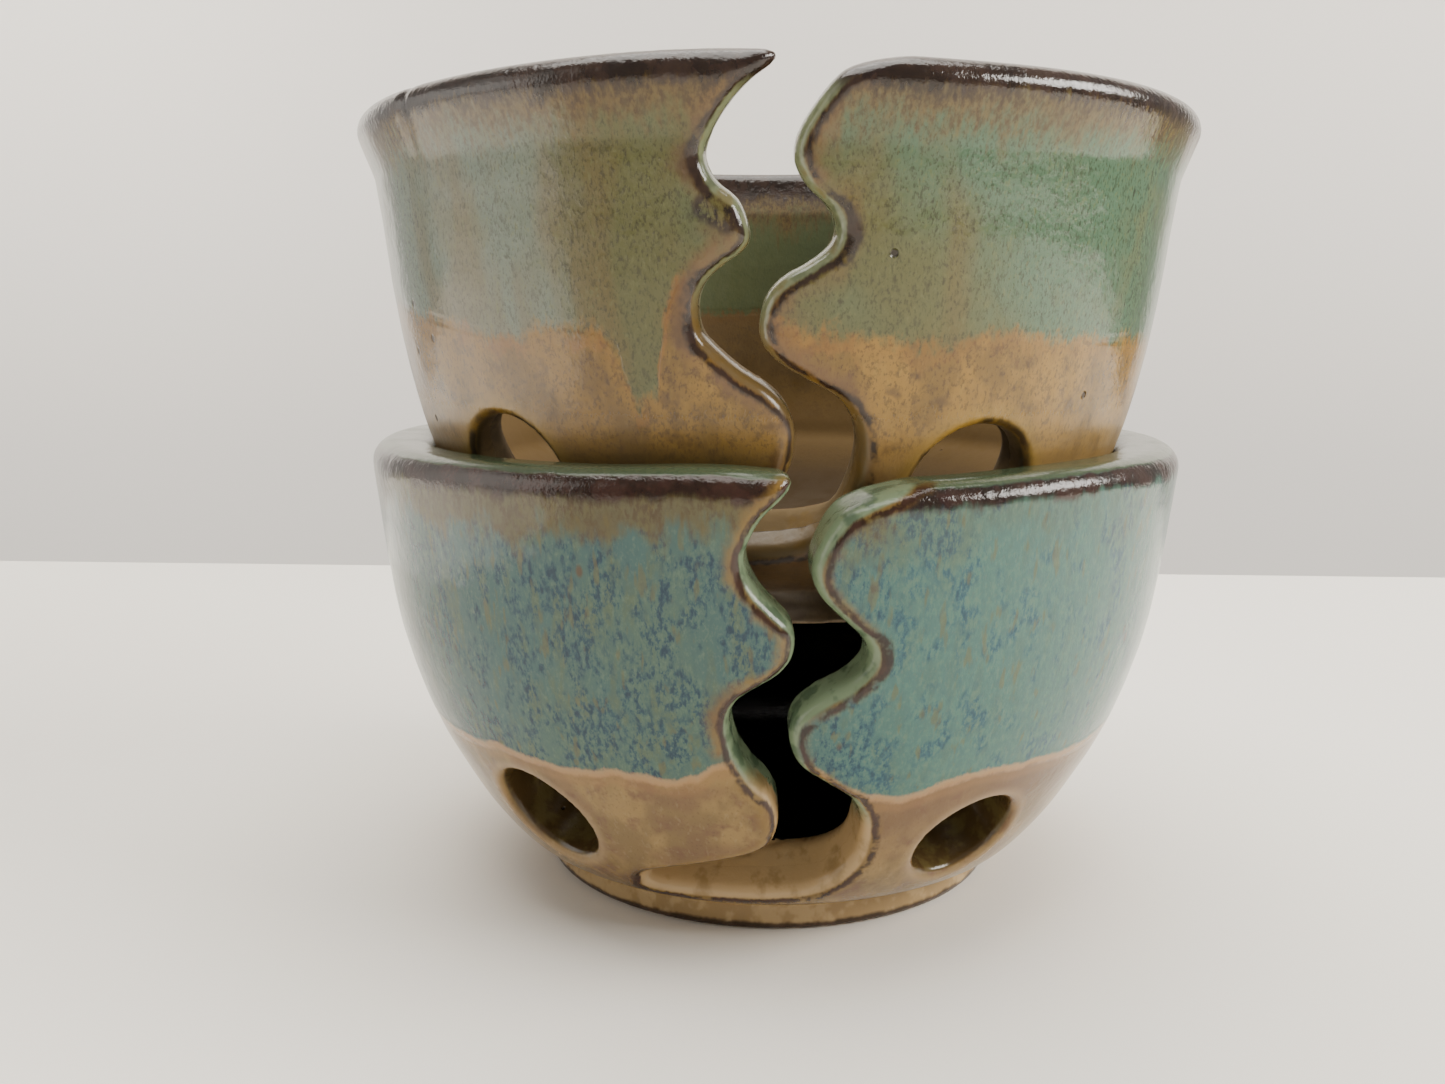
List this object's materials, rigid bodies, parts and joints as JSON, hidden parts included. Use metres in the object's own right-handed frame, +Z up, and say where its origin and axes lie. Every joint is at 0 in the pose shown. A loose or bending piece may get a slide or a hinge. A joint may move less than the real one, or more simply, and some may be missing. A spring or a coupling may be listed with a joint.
{
  "type": "yarn bowl",
  "caption": "Nesting pair of stoneware yarn bowls, one standing in the other, each with a winding yarn slot cut down the front wall and round yarn holes.",
  "frame": {"origin": "centre of the lower bowl's foot, on the surface it stands on", "axes": "+Z up along the bowls' shared axis; the slots face -Y; +X to the right seen from the slots"},
  "size_m": [0.1527, 0.1526, 0.14],
  "materials": {
    "lower_glaze": "glossy blue-green glaze over tan stoneware glaze, breaking brown at the edges",
    "upper_glaze": "glossy moss-green glaze over ochre-brown stoneware glaze, breaking dark brown at the edges"
  },
  "bodies": {
    "lower": {"lower_bowl": "lower_glaze"},
    "upper": {"upper_bowl": "upper_glaze"}
  },
  "joints": [
    {"name": "lift", "type": "slide", "parent": "lower", "child": "upper", "axis": [0, 0, 1], "range_m": [0, 0.06]}
  ]
}
